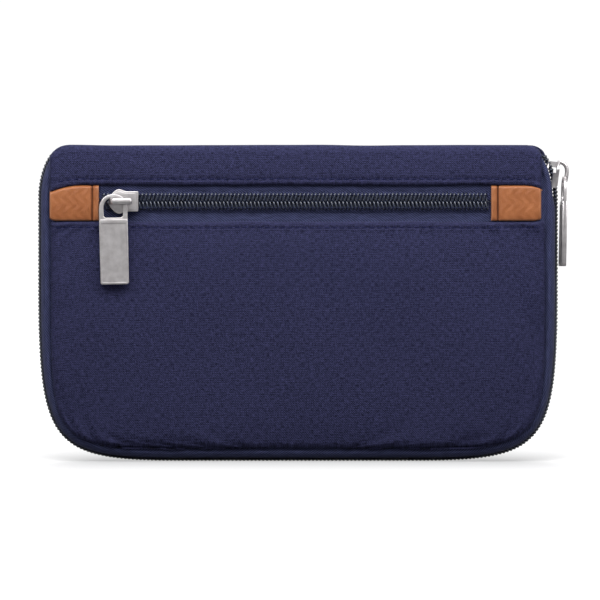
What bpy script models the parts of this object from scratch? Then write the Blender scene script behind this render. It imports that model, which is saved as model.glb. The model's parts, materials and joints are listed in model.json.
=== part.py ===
"""Zip-around travel document organizer, closed, standing on the lower run of its zip.

+X runs along the organizer's width, -Y is the front and +Z is up. The lengths below are millimetres.
The fold is the long upper edge: the back cover, the spine and the front cover hinge there like a book.
The zip runs down the left side, along the bottom and up the right side, half on each cover.
"""
import math

import bmesh
import bpy
from mathutils import Matrix, Vector

MM = 0.001
GAP = 0.3                       # clearance between pieces that touch on the real object

# Overall size
ZIP_HALF_WIDTH = 104.4          # centre line to the outer face of the side coil
COVER_HALF_WIDTH = 98.8
SPINE_HALF_WIDTH = 98.0
HEIGHT = 126.6                  # lowest coil to the top of the spine
COVER_TOP = 124.3
COVER_BOTTOM = 5.6
INNER_TOP = 123.4               # upper edge of the layers inside the covers
FRONT_FACE = -11.5
BACK_FACE = 11.0
BOARD_INSET = (93.5, 9.0)       # half width and lower edge of the boards
LINING_INSET = (94.3, 7.6)      # the same of the linings, clear of the tape where it bows in
CORNER_RISE = 58.0              # height and width of a cover's broad lower corners
CORNER_RUN = 47.0
CORNER_FULLNESS = 0.92          # how far the corner's curve is pulled to the square corner
SPINE_ROUND = 1.5               # rounded corners of the spine's layers, seen from above
STIFFENER_HALF_WIDTH = 95.0
SPINE_LINING = (93.0, 6.4)      # half width and half depth

# Folds: each runs along X where a cover meets the spine
FOLD_HEIGHT = 124.6
FOLD_REACH = 9.0                # from the middle plane to each fold

# Layers
SHELL_THICKNESS = 1.1           # padded outer fabric
BOARD_THICKNESS = 0.8
LINING_THICKNESS = 0.4
TAPE_THICKNESS = 0.4
BACKING_FRONT = -8.3            # lining that closes the front pocket at its back
FRONT_BOARD_FRONT = -7.6
FRONT_LINING_FRONT = -6.5
BACK_LINING_FRONT = 7.4
BACK_BOARD_FRONT = 8.1

# Zips: a number 5 coil chain
ROW_WIDTH = 3.0
ROW_GAP = 0.6                   # half the slit that the slider's web runs in
COIL_DEPTH = 2.0
ZIP_LEFT_END = ((-99.4, 123.9), (-103.6, 117.0), (-104.4, 106.0))    # bow of the end under the fold
ZIP_CORNER_TOP = 68.9
ZIP_CORNER_END = 51.0
ZIP_CORNER_FULLNESS = 0.91
FOOT_HALF_LENGTH = 46.0         # straight run of the bottom coil that the closed organizer stands on
FOOT_RISE = 0.15                # how far the corners' ends stand off the ground beside that run
# Tape under the cover's edge, as distances in from the coil's face and out from the middle plane
GUSSET_EDGE = ((9.0, 9.15), (5.2, 9.15), (3.6, 7.6))
GUSSET_TURN = 4.9               # where the tape turns to run under the coil row
COIL_FRONT = -12.4              # front face of the pocket zip's coil
CHAIN_HEIGHT = 104.0            # pocket zip's centre line
POCKET_OPENING = (96.0, 110.8)  # lower and upper lip of the front pocket
CHAIN_LEFT = -79.2
CHAIN_RIGHT = 76.8
TAPE_HALF_LENGTH = 96.5
TAPE_REACH = 9.4                # centre line to the hidden edge of each pocket tape

# Leather tabs over the ends of the pocket zip
TAB_THICKNESS = 1.7
TAB_OUTER = 99.4
TAB_INNER_LEFT = -79.6
TAB_INNER_RIGHT = 77.2
TAB_CORNER = 4.0

# Sliders: local +X points to the nose, +Z away from the coil, Z = 0 on the coil's outer face
SLIDER_LENGTH = 11.8
TAIL_HALF_WIDTH = 4.3
TAIL_CHAMFER = 0.8
SHOULDER = ((0.4, 4.6), (1.6, 5.3), (2.8, 4.2))         # curve round the widest part of the plate
NOSE_START = (4.0, 3.2)
NOSE_FULLNESS_WIDTH = 1.8
PLATE_BOTTOM = 0.3
PLATE_THICKNESS = 0.9
KEEL_TOP = -3.05
KEEL_THICKNESS = 0.65
KEEL_SCALE = 0.94               # the keel's outline against the plate's
WEB_START = 2.6
WEB_END = 4.8
WEB_THICKNESS = 0.6
FLANGE_WIDTH = 0.5
FLANGE_DEPTH = 1.2
FLANGE_START = -4.9
FLANGE_END = -1.0
FLANGE_INSET = 0.02             # keeps the flange's outer face off the plate's own
BITE = 0.2                      # how far the joined solids of a casting run into each other
BRIDGE_RADIUS = 0.75
BRIDGE_HEIGHT = 4.5             # centre line of the bridge above the coil
BRIDGE_TAIL = -3.0
BRIDGE_BEND = 2.0
POST_X = 4.1                    # centre of the post that carries the bridge

# Pulls: the origin is on the post's axis, the tongue hangs towards -Y
PULL_HALF_WIDTH = 5.7
PULL_LENGTH = 33.2
PULL_THICKNESS = 2.0
EYE_THICKNESS = 1.2
EYE_HALF_WIDTH = 3.85
EYE_TOP = 1.5
EYE_BOTTOM = -6.5
PULL_TOP = 2.9
PULL_CHAMFER = 0.6
EYE_CHAMFER = 0.8
PULL_OFFSET = 2.45              # centre plane of a pull above the coil
HOOK_FROM_TAIL = 1.1            # where the side pull's eye hangs, from the bridge's free end
PULL_TILT_DEGREES = 1.2

POCKET_SLIDER_X = -69.8
SIDE_SLIDER_HEIGHT = 115.2

# Pockets inside
SLOT_INNER = 2.5
SLOT_OUTER = 90.0
SLOT_BOTTOM = 26.0
SLOT_TOPS = (98.0, 85.0, 72.0)
SLOT_THICKNESS = 0.4
SLOT_CORNER = 3.0
TICKET_POCKET = (90.0, 14.0, 100.0, 16.0)      # half width, bottom, top, lower corners' radius
PASSPORT_POCKET = (66.0, 22.0, 88.0, 8.0)
PEN_LOOP_HALF_LENGTH = 13.0
PEN_LOOP_WALL = 0.6
PEN_LOOP_SIZE = (11.6, 10.6)                   # across Y and Z
PEN_LOOP_CORNERS = (4.5, 4.5, 1.2, 1.2)

MATERIALS = {
    "navy_fabric": ((0.030, 0.033, 0.080), 0.85, 0.0),
    "navy_tape": ((0.045, 0.055, 0.115), 0.8, 0.0),
    "coil_nylon": ((0.012, 0.013, 0.022), 0.4, 0.0),
    "tan_leather": ((0.39, 0.13, 0.045), 0.55, 0.0),
    "satin_nickel": ((0.62, 0.59, 0.60), 0.32, 1.0),
    "lining": ((0.035, 0.04, 0.06), 0.75, 0.0),
    "board": ((0.55, 0.55, 0.53), 0.6, 0.0),
    "elastic": ((0.015, 0.015, 0.02), 0.9, 0.0),
}


def clear_scene():
    for old in list(bpy.data.objects):
        bpy.data.objects.remove(old, do_unlink=True)


def collection(name):
    made = bpy.data.collections.new(name)
    bpy.context.scene.collection.children.link(made)
    return made


def material(name):
    found = bpy.data.materials.get(name)
    if found:
        return found
    colour, roughness, metallic = MATERIALS[name]
    made = bpy.data.materials.new(name)
    made.use_nodes = True
    shader = made.node_tree.nodes["Principled BSDF"]
    shader.inputs["Base Color"].default_value = (*colour, 1.0)
    shader.inputs["Roughness"].default_value = roughness
    shader.inputs["Metallic"].default_value = metallic
    made.diffuse_color = (*colour, 1.0)
    return made


def empty(name, place, parent=None):
    """An empty at a design position, which carries the pieces of one moving body."""
    made = bpy.data.objects.new(name, None)
    PIECES.objects.link(made)
    made.location = Vector(place) * MM
    bpy.context.view_layer.update()
    if parent:
        attach(made, parent)
    return made


def attach(piece, parent):
    """Parent a piece and keep the place it has."""
    piece.parent = parent
    piece.matrix_parent_inverse = parent.matrix_world.inverted()
    bpy.context.view_layer.update()


def rounded_corner(start, corner, end, fullness=0.5523, steps=6):
    """Points of one cubic from start to end that bends round the corner."""
    start, corner, end = Vector(start), Vector(corner), Vector(end)
    first = start.lerp(corner, fullness)
    second = end.lerp(corner, fullness)
    points = []
    for step in range(steps + 1):
        t = step / steps
        s = 1.0 - t
        points.append(s**3 * start + 3 * s * s * t * first + 3 * s * t * t * second + t**3 * end)
    return points


def mirrored(points):
    """The same points on the other side of the middle, in the order that goes on round the outline."""
    return [Vector((-point.x, point.y)) for point in reversed(points)]


def cover_outline(half_width, bottom, top):
    """A cover's outline in X and Z: square at the fold, broad soft corners at the bottom."""
    start = (-half_width, bottom + CORNER_RISE)
    end = (CORNER_RUN - half_width, bottom)
    left = [Vector((-half_width, top))]
    left += rounded_corner(start, (-half_width, bottom), end, CORNER_FULLNESS, 12)
    return left + mirrored(left)


def box_outline(low, high, radii):
    """A rectangle in X and Z. radii are those of the corners, anticlockwise from the lower left."""
    (x0, z0), (x1, z1) = low, high
    corners = [(x0, z0), (x1, z0), (x1, z1), (x0, z1)]
    along = [(0, -1), (1, 0), (0, 1), (-1, 0)]
    points = []
    for index, corner in enumerate(corners):
        radius = radii[index]
        if not radius:
            points.append(Vector(corner))
            continue
        before = Vector(corner) - Vector(along[index]) * radius
        after = Vector(corner) + Vector(along[(index + 1) % 4]) * radius
        points += rounded_corner(before, corner, after)
    return points


def zip_path():
    """Outer line of the side and bottom coil, from the left end at the fold to the right one.

    The left end bows in under the fold. The right end stays straight, where the slider is parked.
    """
    bow = rounded_corner(*ZIP_LEFT_END, steps=5)
    start = (-ZIP_HALF_WIDTH, ZIP_CORNER_TOP)
    end = (-ZIP_CORNER_END, FOOT_RISE)
    corner = rounded_corner(start, (-ZIP_HALF_WIDTH, FOOT_RISE), end, ZIP_CORNER_FULLNESS, 14)
    left = corner + [Vector((-FOOT_HALF_LENGTH, 0))]
    return bow + left + mirrored(left) + [Vector((ZIP_HALF_WIDTH, bow[0].y))]


def poly_curve(name, outlines, cyclic=True):
    """A flat curve object with one straight-edged spline for each outline."""
    data = bpy.data.curves.new(name, "CURVE")
    data.dimensions = "2D"
    for outline in outlines:
        spline = data.splines.new("POLY")
        spline.points.add(len(outline) - 1)
        for target, point in zip(spline.points, outline):
            target.co = (point[0] * MM, point[1] * MM, 0, 1)
        spline.use_cyclic_u = cyclic
    made = bpy.data.objects.new(name, data)
    bpy.context.scene.collection.objects.link(made)
    return made


def as_mesh(curve, name, material_name, parent):
    """Replace a curve object by the mesh it evaluates to, welded, with its origin on the parent."""
    bpy.context.view_layer.update()
    graph = bpy.context.evaluated_depsgraph_get()
    mesh = bpy.data.meshes.new_from_object(curve.evaluated_get(graph))
    mesh.transform(curve.matrix_world)
    bpy.data.objects.remove(curve, do_unlink=True)
    return mesh_object(name, mesh, material_name, parent)


def mesh_object(name, mesh, material_name, parent):
    """Weld a mesh given in design coordinates and put it in the scene on its parent's axis."""
    cage = bmesh.new()
    cage.from_mesh(mesh)
    bmesh.ops.remove_doubles(cage, verts=cage.verts, dist=0.002 * MM)
    bmesh.ops.recalc_face_normals(cage, faces=cage.faces)
    cage.to_mesh(mesh)
    cage.free()
    place = parent.matrix_world.translation
    mesh.transform(Matrix.Translation(-place))
    mesh.materials.clear()
    mesh.materials.append(material(material_name))
    mesh.shade_smooth()
    mesh.set_sharp_from_angle(angle=math.radians(35))
    made = bpy.data.objects.new(name, mesh)
    PIECES.objects.link(made)
    made.location = place
    bpy.context.view_layer.update()
    attach(made, parent)
    return made


def upright(curve, y):
    """Turn a flat curve so that its plane is XZ at the given Y."""
    curve.matrix_world = Matrix.Translation((0, y * MM, 0)) @ Matrix.Rotation(math.pi / 2, 4, "X")


def sheet(name, outlines, front, thickness, material_name, parent):
    """A flat layer in the XZ plane, from Y = front to front + thickness."""
    curve = poly_curve(name, outlines)
    curve.data.fill_mode = "BOTH"
    curve.data.extrude = thickness * MM / 2
    upright(curve, front + thickness / 2)
    return as_mesh(curve, name, material_name, parent)


def swept(name, section, closed, material_name, parent):
    """A section carried along the zip. Its points are (distance in from the coil's face, world Y)."""
    profile = poly_curve(name + "_section", [[(-inward, -y) for inward, y in section]], closed)
    path = poly_curve(name, [zip_path()], cyclic=False)
    path.data.bevel_mode = "OBJECT"
    path.data.bevel_object = profile
    path.data.use_fill_caps = closed
    upright(path, 0)
    made = as_mesh(path, name, material_name, parent)
    bpy.data.objects.remove(profile, do_unlink=True)
    return made


def zip_edge(side, cover, parent):
    """Tape and coil row of one cover. side is -1 for the front cover and 1 for the back one."""
    row = [(0, ROW_GAP), (0, ROW_GAP + ROW_WIDTH), (COIL_DEPTH, ROW_GAP + ROW_WIDTH), (COIL_DEPTH, ROW_GAP)]
    swept(cover + "_coil", [(inward, side * y) for inward, y in row], True, "coil_nylon", parent)
    tape_plane = COIL_DEPTH + GAP + TAPE_THICKNESS / 2
    line = [*GUSSET_EDGE, (tape_plane, GUSSET_TURN), (tape_plane, ROW_GAP)]
    gusset = swept(cover + "_gusset", [(inward, side * y) for inward, y in line], False, "navy_tape", parent)
    shell = gusset.modifiers.new("Thickness", "SOLIDIFY")
    shell.thickness = TAPE_THICKNESS * MM
    shell.offset = 0
    shell.use_even_offset = True


def make_back_cover(parent):
    shell = cover_outline(COVER_HALF_WIDTH, COVER_BOTTOM, COVER_TOP)
    board = cover_outline(*BOARD_INSET, INNER_TOP)
    lining = cover_outline(*LINING_INSET, INNER_TOP)
    shell_front = BACK_FACE - SHELL_THICKNESS
    sheet("back_panel", [shell], shell_front, SHELL_THICKNESS, "navy_fabric", parent)
    sheet("back_board", [board], BACK_BOARD_FRONT, BOARD_THICKNESS, "board", parent)
    sheet("back_lining", [lining], BACK_LINING_FRONT, LINING_THICKNESS, "lining", parent)
    zip_edge(1, "back", parent)
    front = BACK_LINING_FRONT
    for name, size in (("ticket_pocket", TICKET_POCKET), ("passport_pocket", PASSPORT_POCKET)):
        half, low, high, radius = size
        front -= GAP + SLOT_THICKNESS
        outline = box_outline((-half, low), (half, high), (radius, radius, 0, 0))
        sheet(name, [outline], front, SLOT_THICKNESS, "lining", parent)


def make_spine(parent):
    """The strip between the folds. Its layers lie flat, stacked in Z."""
    def layer(name, half_width, half_depth, bottom, thickness, material_name):
        outline = box_outline((-half_width, -half_depth), (half_width, half_depth), (SPINE_ROUND,) * 4)
        curve = poly_curve(name, [outline])
        curve.data.fill_mode = "BOTH"
        curve.data.extrude = thickness * MM / 2
        curve.location.z = (bottom + thickness / 2) * MM
        as_mesh(curve, name, material_name, parent)

    panel_bottom = HEIGHT - SHELL_THICKNESS
    stiffener = panel_bottom - GAP - FOLD_HEIGHT
    lining_bottom = FOLD_HEIGHT - GAP - LINING_THICKNESS
    layer("spine_panel", SPINE_HALF_WIDTH, FOLD_REACH - GAP, panel_bottom, SHELL_THICKNESS, "navy_fabric")
    layer("spine_stiffener", STIFFENER_HALF_WIDTH, FOLD_REACH - 2 * GAP, FOLD_HEIGHT, stiffener, "board")
    layer("spine_lining", *SPINE_LINING, lining_bottom, LINING_THICKNESS, "lining")
    make_pen_loop(lining_bottom - GAP, parent)


def make_pen_loop(top, parent):
    """Elastic loop under the spine, open at both ends along X."""
    deep, high = PEN_LOOP_SIZE
    wall = PEN_LOOP_WALL
    outer = box_outline((-deep / 2, -high), (deep / 2, 0), PEN_LOOP_CORNERS)
    inside = [radius - wall for radius in PEN_LOOP_CORNERS]
    inner = box_outline((wall - deep / 2, wall - high), (deep / 2 - wall, -wall), inside)
    curve = poly_curve("pen_loop", [outer, inner])
    curve.data.fill_mode = "BOTH"
    curve.data.extrude = PEN_LOOP_HALF_LENGTH * MM
    across = Matrix(((0, 0, 1), (1, 0, 0), (0, 1, 0))).to_4x4()
    curve.matrix_world = Matrix.Translation((0, 0, top * MM)) @ across
    as_mesh(curve, "pen_loop", "elastic", parent)


def make_front_cover(parent):
    lower_lip, upper_lip = POCKET_OPENING
    half = COVER_HALF_WIDTH
    top_strip = box_outline((-half, upper_lip), (half, COVER_TOP), (0, 0, 0, 0))
    sheet("front_top_strip", [top_strip], FRONT_FACE, SHELL_THICKNESS, "navy_fabric", parent)
    panel = cover_outline(half, COVER_BOTTOM, lower_lip)
    sheet("front_pocket_panel", [panel], FRONT_FACE, SHELL_THICKNESS, "navy_fabric", parent)
    backing = cover_outline(*LINING_INSET, INNER_TOP)
    sheet("pocket_backing", [backing], BACKING_FRONT, LINING_THICKNESS, "lining", parent)
    board = cover_outline(*BOARD_INSET, INNER_TOP)
    sheet("front_board", [board], FRONT_BOARD_FRONT, BOARD_THICKNESS, "board", parent)
    sheet("front_lining", [backing], FRONT_LINING_FRONT, LINING_THICKNESS, "lining", parent)
    zip_edge(-1, "front", parent)
    make_pocket_zip(parent)
    make_leather_tabs(parent)
    make_card_slots(parent)


def make_pocket_zip(parent):
    """Tape and coil row above and below the pocket zip's centre line."""
    tape_front = COIL_FRONT + COIL_DEPTH + GAP
    for name, side in (("upper", 1), ("lower", -1)):
        near = CHAIN_HEIGHT + side * ROW_GAP
        row_far = near + side * ROW_WIDTH
        tape_far = CHAIN_HEIGHT + side * TAPE_REACH
        row = box_outline((CHAIN_LEFT, min(near, row_far)), (CHAIN_RIGHT, max(near, row_far)), (0, 0, 0, 0))
        sheet("pocket_coil_" + name, [row], COIL_FRONT, COIL_DEPTH, "coil_nylon", parent)
        tape = box_outline((-TAPE_HALF_LENGTH, min(near, tape_far)), (TAPE_HALF_LENGTH, max(near, tape_far)),
                           (0, 0, 0, 0))
        sheet("pocket_tape_" + name, [tape], tape_front, TAPE_THICKNESS, "navy_tape", parent)


def make_leather_tabs(parent):
    """A tab over each end of the pocket zip, between the lips, with its outer corners rounded."""
    low = POCKET_OPENING[0] + GAP
    high = POCKET_OPENING[1] - GAP
    front = COIL_FRONT + COIL_DEPTH - TAB_THICKNESS
    left = box_outline((-TAB_OUTER, low), (TAB_INNER_LEFT, high), (TAB_CORNER, 0, 0, TAB_CORNER))
    right = box_outline((TAB_INNER_RIGHT, low), (TAB_OUTER, high), (0, TAB_CORNER, TAB_CORNER, 0))
    sheet("leather_tab_left", [left], front, TAB_THICKNESS, "tan_leather", parent)
    sheet("leather_tab_right", [right], front, TAB_THICKNESS, "tan_leather", parent)


def make_card_slots(parent):
    """Two columns of stepped card slots on the inside of the front cover, the tallest behind."""
    for column, side in (("left", -1), ("right", 1)):
        front = FRONT_LINING_FRONT + LINING_THICKNESS
        for tier, top in enumerate(SLOT_TOPS, start=1):
            front += GAP
            inner, outer = sorted((side * SLOT_INNER, side * SLOT_OUTER))
            outline = box_outline((inner, SLOT_BOTTOM), (outer, top), (SLOT_CORNER, SLOT_CORNER, 0, 0))
            sheet(f"card_slot_{column}_{tier}", [outline], front, SLOT_THICKNESS, "lining", parent)
            front += SLOT_THICKNESS


def combine(piece, operand, operation):
    """Cut or join with an operand, which goes out of sight in the cutters' collection."""
    for owner in list(operand.users_collection):
        owner.objects.unlink(operand)
    OPERANDS.objects.link(operand)
    operand.hide_render = True
    operand.display_type = "WIRE"
    modifier = piece.modifiers.new(operation.title(), "BOOLEAN")
    modifier.operation = operation
    modifier.object = operand
    modifier.solver = "EXACT"


def local_slab(name, outline, bottom, top, material_name, parent, frame):
    """A slab with its outline in a slider's or pull's own XY plane, placed by a frame in metres."""
    curve = poly_curve(name, [outline])
    curve.data.fill_mode = "BOTH"
    curve.data.extrude = (top - bottom) * MM / 2
    curve.matrix_world = frame @ Matrix.Translation((0, 0, (top + bottom) * MM / 2))
    return as_mesh(curve, name, material_name, parent)


def slider_outline(half_length):
    """A slider's plate: it runs square from the tail, swells at the shoulders and rounds to the nose."""
    upper = [Vector((-half_length, TAIL_HALF_WIDTH - TAIL_CHAMFER))]
    upper += [Vector((TAIL_CHAMFER - half_length, TAIL_HALF_WIDTH))]
    upper += [Vector((-TAIL_CHAMFER, TAIL_HALF_WIDTH))]
    upper += rounded_corner(*SHOULDER, steps=3)
    upper += rounded_corner(NOSE_START, (half_length, NOSE_FULLNESS_WIDTH), (half_length, 0.0), steps=4)
    lower = [Vector((point.x, -point.y)) for point in reversed(upper[:-1])]
    return upper + lower


def make_slider(name, parent, frame, flange_sides):
    """Plate, keel, web, flanges and bridge of one slider, as a single casting."""
    half_length = SLIDER_LENGTH / 2
    plate_top = PLATE_BOTTOM + PLATE_THICKNESS
    outline = slider_outline(half_length)
    body = local_slab(name, outline, PLATE_BOTTOM, plate_top, "satin_nickel", parent, frame)
    keel_bottom = KEEL_TOP - KEEL_THICKNESS
    keel_outline = [point * KEEL_SCALE for point in outline]
    web_outline = box_outline((WEB_START, -WEB_THICKNESS / 2), (WEB_END, WEB_THICKNESS / 2), (0, 0, 0, 0))
    web_ends = (keel_bottom + BITE, plate_top - BITE)
    extras = [
        local_slab(name + "_keel", keel_outline, keel_bottom, KEEL_TOP, "satin_nickel", parent, frame),
        local_slab(name + "_web", web_outline, *web_ends, "satin_nickel", parent, frame),
    ]
    for side in flange_sides:
        edge = TAIL_HALF_WIDTH - FLANGE_INSET
        inner, outer = sorted((side * (TAIL_HALF_WIDTH - FLANGE_WIDTH), side * edge))
        lip = box_outline((FLANGE_START, inner), (FLANGE_END, outer), (0, 0, 0, 0))
        ends = (PLATE_BOTTOM - FLANGE_DEPTH, plate_top - BITE)
        extras.append(local_slab(f"{name}_flange_{side}", lip, *ends, "satin_nickel", parent, frame))
    extras.append(make_bridge(name + "_bridge", parent, frame))
    for extra in extras:
        combine(body, extra, "UNION")


def make_bridge(name, parent, frame):
    """Round bar that rises from a post near the nose and reaches back over the plate."""
    data = bpy.data.curves.new(name, "CURVE")
    data.dimensions = "3D"
    bend_start = (POST_X, BRIDGE_HEIGHT - BRIDGE_BEND)
    bend_end = (POST_X - BRIDGE_BEND, BRIDGE_HEIGHT)
    line = [Vector((POST_X, PLATE_BOTTOM + BITE))]
    line += rounded_corner(bend_start, (POST_X, BRIDGE_HEIGHT), bend_end, steps=4)
    line += [Vector((BRIDGE_TAIL, BRIDGE_HEIGHT))]
    spline = data.splines.new("POLY")
    spline.points.add(len(line) - 1)
    for target, point in zip(spline.points, line):
        target.co = (point.x * MM, 0, point.y * MM, 1)
    data.bevel_depth = BRIDGE_RADIUS * MM
    data.bevel_resolution = 3
    data.use_fill_caps = True
    curve = bpy.data.objects.new(name, data)
    bpy.context.scene.collection.objects.link(curve)
    curve.matrix_world = frame
    return as_mesh(curve, name, "satin_nickel", parent)


def pull_outline():
    """Tongue with square lower corners and a round shoulder over the eye."""
    half = PULL_HALF_WIDTH
    shoulder = PULL_TOP - half
    arch = rounded_corner((half, shoulder), (half, PULL_TOP), (0, PULL_TOP), steps=6)
    side = [Vector((half - PULL_CHAMFER, -PULL_LENGTH)), Vector((half, PULL_CHAMFER - PULL_LENGTH))]
    side += arch[:-1]
    return side + [Vector((0, PULL_TOP))] + mirrored(side)


def eye_outline():
    """The eye: a round top and a flat floor."""
    half = EYE_HALF_WIDTH
    side = [Vector((half - EYE_CHAMFER, EYE_BOTTOM)), Vector((half, EYE_BOTTOM + EYE_CHAMFER))]
    arch = rounded_corner((half, EYE_TOP - half), (half, EYE_TOP), (0, EYE_TOP), steps=5)
    return side + arch[:-1] + [Vector((0, EYE_TOP))] + mirrored(side + arch[:-1])


def make_pull(name, parent, frame):
    """A flat pull, thinner round its eye than along the tongue."""
    half = PULL_THICKNESS / 2
    body = local_slab(name, pull_outline(), -half, half, "satin_nickel", parent, frame)
    eye = local_slab(name + "_eye", eye_outline(), -2 * half, 2 * half, "satin_nickel", parent, frame)
    past = PULL_HALF_WIDTH + EYE_CHAMFER
    around_eye = box_outline((-past, EYE_BOTTOM - EYE_CHAMFER), (past, PULL_TOP + EYE_CHAMFER), (0, 0, 0, 0))
    step = EYE_THICKNESS / 2
    upper = local_slab(name + "_relief_out", around_eye, step, 3 * half, "satin_nickel", parent, frame)
    lower = local_slab(name + "_relief_in", around_eye, -3 * half, -step, "satin_nickel", parent, frame)
    for operand in (eye, upper, lower):
        combine(body, operand, "DIFFERENCE")


def basis(x_axis, z_axis, place):
    """Frame in metres with the given local X and Z directions."""
    x_axis, z_axis = Vector(x_axis), Vector(z_axis)
    turn = Matrix((x_axis, z_axis.cross(x_axis), z_axis)).transposed().to_4x4()
    return Matrix.Translation(Vector(place) * MM) @ turn


def make_sliders(front_cover, back_cover):
    pocket_slide = empty("pocket_slide_axis", (POCKET_SLIDER_X, COIL_FRONT, CHAIN_HEIGHT), front_cover)
    frame = basis((-1, 0, 0), (0, -1, 0), (POCKET_SLIDER_X, COIL_FRONT, CHAIN_HEIGHT))
    make_slider("pocket_slider", pocket_slide, frame, (-1, 1))
    post = (POCKET_SLIDER_X - POST_X, COIL_FRONT - PULL_OFFSET, CHAIN_HEIGHT)
    pull_axis = empty("pocket_pull_axis", post, pocket_slide)
    tilt = Matrix.Rotation(math.radians(PULL_TILT_DEGREES), 4, "Z")
    make_pull("pocket_pull", pull_axis, basis((1, 0, 0), (0, -1, 0), post) @ tilt)

    # The front row leaves the side slider through its open front, so only its back side has a flange.
    place = (ZIP_HALF_WIDTH, 0, SIDE_SLIDER_HEIGHT)
    side_slide = empty("side_slide_axis", place, back_cover)
    frame = basis((0, 0, 1), (1, 0, 0), place)
    make_slider("side_slider", side_slide, frame, (-1,))
    eye_bar = (EYE_TOP + PULL_TOP) / 2
    hook = (ZIP_HALF_WIDTH + PULL_OFFSET, 0, SIDE_SLIDER_HEIGHT + BRIDGE_TAIL + HOOK_FROM_TAIL)
    pull_axis = empty("side_pull_axis", hook, side_slide)
    hang = Matrix.Translation((0, -eye_bar * MM, 0))
    make_pull("side_pull", pull_axis, basis((0, 1, 0), (1, 0, 0), hook) @ hang)


def main():
    organizer = empty("organizer", (0, 0, 0))
    back_cover = empty("back_cover", (0, 0, 0), organizer)
    spine = empty("spine_fold_axis", (0, FOLD_REACH, FOLD_HEIGHT), back_cover)
    front_cover = empty("cover_fold_axis", (0, -FOLD_REACH, FOLD_HEIGHT), spine)
    make_back_cover(back_cover)
    make_spine(spine)
    make_front_cover(front_cover)
    make_sliders(front_cover, back_cover)

    # The origin is the middle of the bounding box at the lowest coil. The side slider's bridge
    # reaches furthest to the right and the pocket slider's bridge furthest to the front.
    reach = BRIDGE_HEIGHT + BRIDGE_RADIUS
    centre_x = reach / 2
    centre_y = (BACK_FACE + COIL_FRONT - reach) / 2
    organizer.location = Vector((-centre_x, -centre_y, 0)) * MM
    bpy.context.view_layer.update()


clear_scene()
PIECES = collection("travel_document_organizer")
OPERANDS = collection("cutters")
main()
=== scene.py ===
"""Looks of the travel document organizer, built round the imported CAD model.

Lengths in this file are millimetres in the design's own axes: X = 0 is the middle of the zip's width,
Y = 0 the plane between the two covers and Z = 0 the lowest coil. world() turns them into the row frame.
"""
import json
import math

import bmesh
import bpy
import numpy as np
from mathutils import Matrix, Vector

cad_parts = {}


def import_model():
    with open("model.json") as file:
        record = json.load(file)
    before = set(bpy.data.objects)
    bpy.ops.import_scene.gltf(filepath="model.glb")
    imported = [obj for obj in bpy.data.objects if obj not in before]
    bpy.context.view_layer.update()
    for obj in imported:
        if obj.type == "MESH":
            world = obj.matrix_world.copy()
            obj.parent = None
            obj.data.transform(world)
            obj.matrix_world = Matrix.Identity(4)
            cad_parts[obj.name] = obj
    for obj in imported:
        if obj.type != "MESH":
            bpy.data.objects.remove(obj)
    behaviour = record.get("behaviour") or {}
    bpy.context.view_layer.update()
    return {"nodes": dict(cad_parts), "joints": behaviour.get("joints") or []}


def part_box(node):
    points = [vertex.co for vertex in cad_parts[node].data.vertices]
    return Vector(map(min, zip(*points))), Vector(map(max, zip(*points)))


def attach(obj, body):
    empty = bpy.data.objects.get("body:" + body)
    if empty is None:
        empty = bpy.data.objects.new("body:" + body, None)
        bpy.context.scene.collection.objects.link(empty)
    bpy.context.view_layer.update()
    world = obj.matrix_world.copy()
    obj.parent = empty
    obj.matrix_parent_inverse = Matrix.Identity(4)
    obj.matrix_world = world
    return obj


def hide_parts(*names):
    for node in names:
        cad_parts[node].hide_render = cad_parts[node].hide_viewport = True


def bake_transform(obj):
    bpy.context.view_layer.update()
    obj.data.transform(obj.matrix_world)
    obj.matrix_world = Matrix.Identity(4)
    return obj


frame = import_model()

MM = 0.001
BACK_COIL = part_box("back_coil")
MID_X = (BACK_COIL[0].x + BACK_COIL[1].x) / 2
MID_Y = (BACK_COIL[0].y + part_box("front_coil")[1].y) / 2
SHIFT = np.array([MID_X, MID_Y, 0.0])


def local_box(node):
    """Lowest and highest corner of a CAD node in this file's millimetres."""
    low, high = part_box(node)
    return (np.array(low) - SHIFT) / MM, (np.array(high) - SHIFT) / MM


def world(x, y, z):
    return Vector((x * MM + MID_X, y * MM + MID_Y, z * MM))


def joint_named(name):
    return next(joint for joint in frame["joints"] if joint["name"] == name)


# ---------- sizes read from the frame
ZIP_HALF = local_box("back_coil")[1][0]
COIL_DEPTH = 2.0
PANEL_LOW, PANEL_HIGH = local_box("front_pocket_panel")
COVER_HALF = PANEL_HIGH[0]
COVER_BOTTOM = PANEL_LOW[2]
LOWER_LIP = PANEL_HIGH[2]
FRONT_FACE = PANEL_LOW[1]
UPPER_LIP = local_box("front_top_strip")[0][2]
BACK_FACE = local_box("back_panel")[1][1]
TOP = local_box("spine_panel")[1][2]
UPPER_COIL = local_box("pocket_coil_upper")
CHAIN_Z = (local_box("pocket_coil_lower")[1][2] + UPPER_COIL[0][2]) / 2
CHAIN_LEFT, CHAIN_RIGHT = UPPER_COIL[0][0], UPPER_COIL[1][0]
COIL_FRONT = UPPER_COIL[0][1]
TAPE_FRONT = local_box("pocket_tape_upper")[0][1]
CORNER_RISE, CORNER_RUN, CORNER_FULLNESS = 49.0, 45.5, 0.93    # broad lower corners of the sewn cloth
TAB_END = 97.3           # right tab's outer end, under the narrower end of the fold
FOLD_REACH = 9.0
FOLD_START = 119.5       # where the cloth begins to follow the spine, up a cover
FOLD_END = 4.5           # and where it ends, from the middle of the spine
PITCH = 1.54            # one turn of a number 5 coil
COIL_HEIGHT = 1.45
COIL_STEPS = 14         # points on one turn
WIRE_RADIUS = 0.37
COIL_WIDTH = 3.3
COIL_LEAN = PITCH / (2 * COIL_WIDTH)    # loops lean, so that crowns line up and heads interleave
THREAD_RADIUS = 0.2
ELASTIC_RIB = 1.1
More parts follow.
